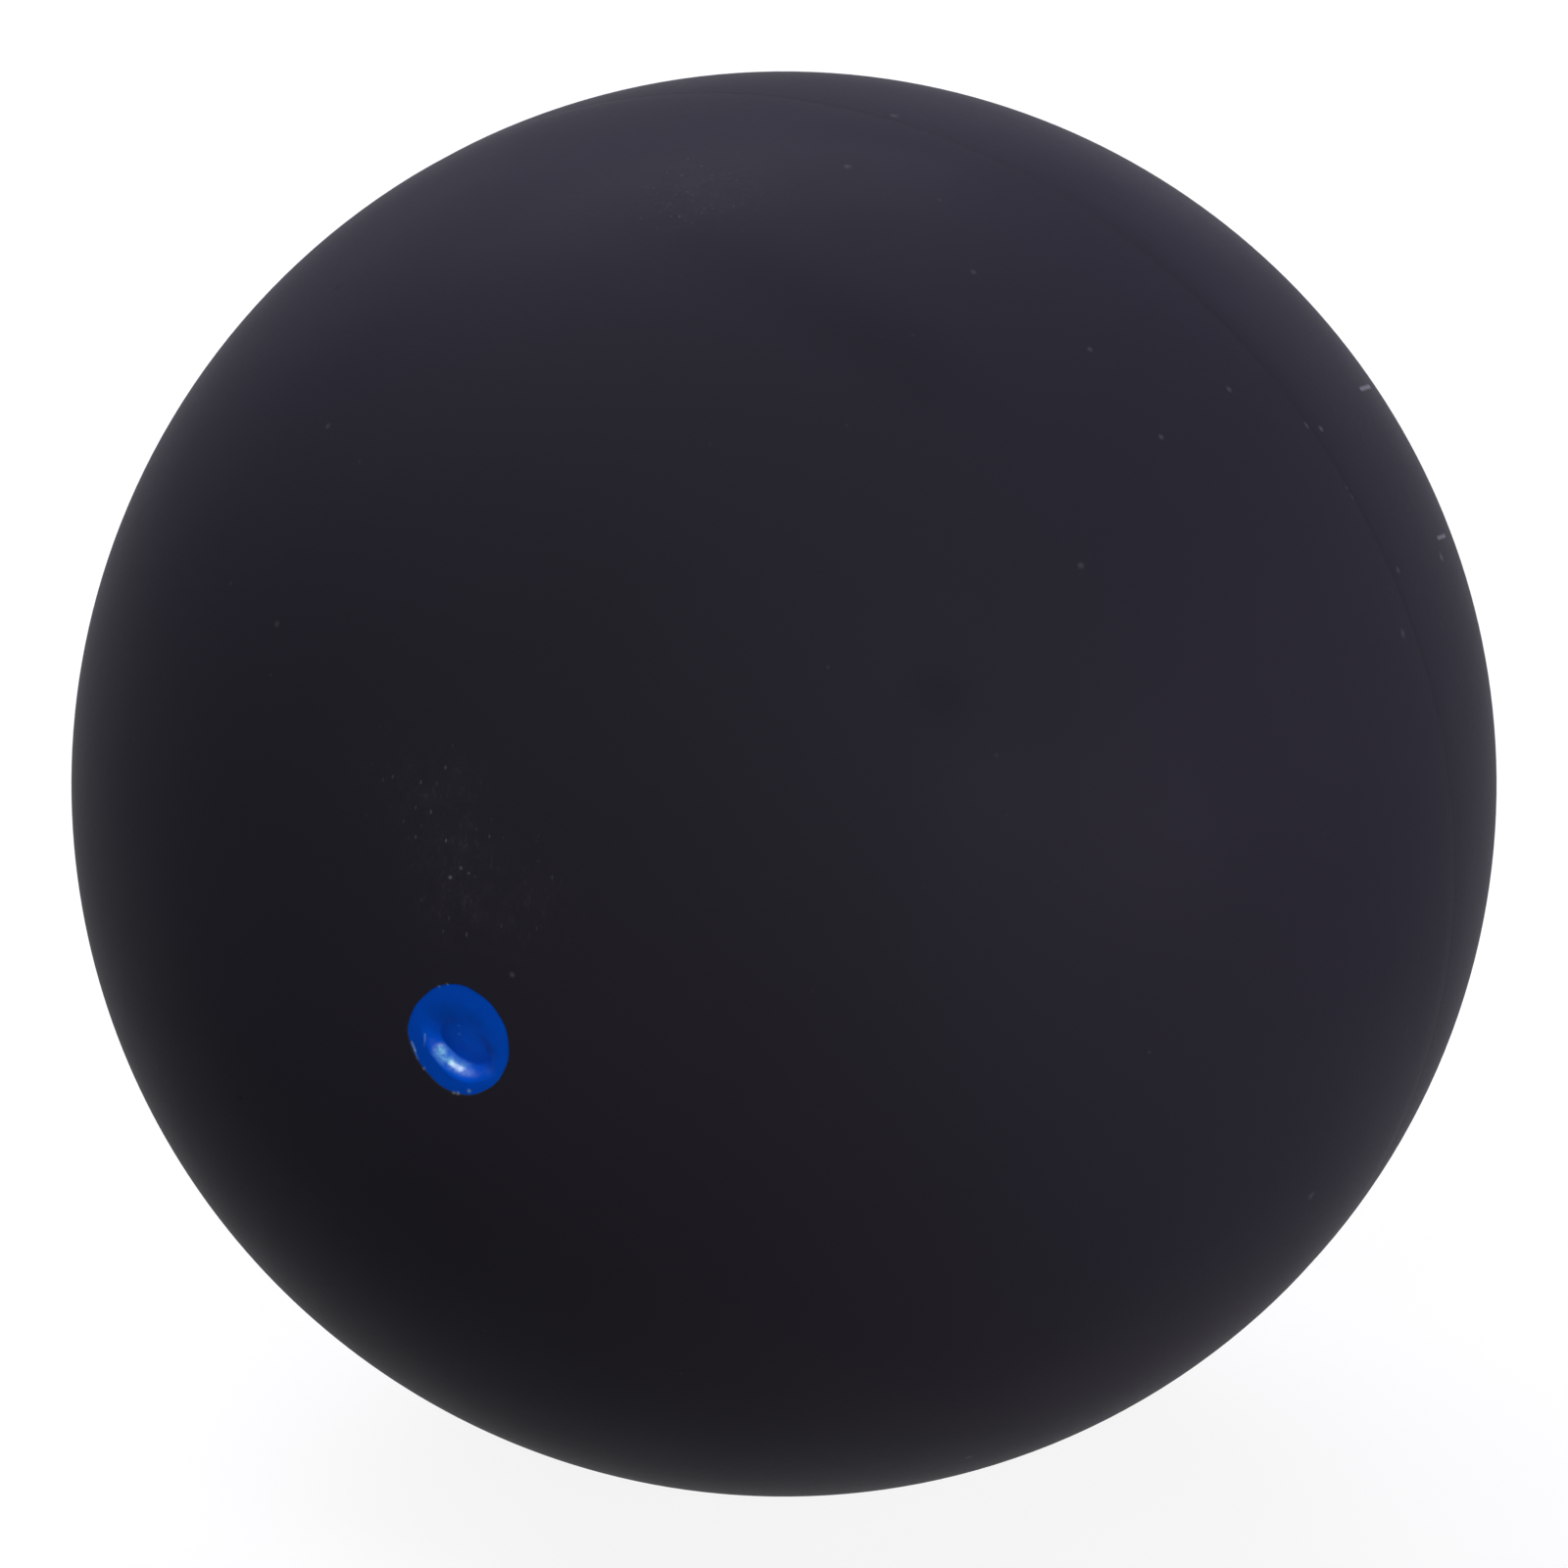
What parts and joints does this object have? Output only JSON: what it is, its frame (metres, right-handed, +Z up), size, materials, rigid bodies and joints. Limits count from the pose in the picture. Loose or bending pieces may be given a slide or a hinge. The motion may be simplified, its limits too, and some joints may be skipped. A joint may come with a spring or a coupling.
{
  "type": "squash ball",
  "caption": "Small hollow rubber ball with a matte black buffed surface, a flush seam between its cemented half shells and a round blue paint dot in a shallow recess.",
  "frame": {"origin": "centre of the ball", "axes": "+Z up; -Y is the moulding axis, out through the middle of the dot; the seam between the halves lies in the XZ plane"},
  "size_m": [0.04, 0.0399, 0.04],
  "materials": {
    "buffed_rubber": "matte, buffed",
    "rubber_cement": "satin, cured",
    "dot_paint": "glossy paint"
  },
  "bodies": {
    "root": {"dotted_half_shell": "buffed_rubber", "plain_half_shell": "buffed_rubber", "seam_cement": "rubber_cement", "blue_dot": "dot_paint"}
  },
  "joints": []
}
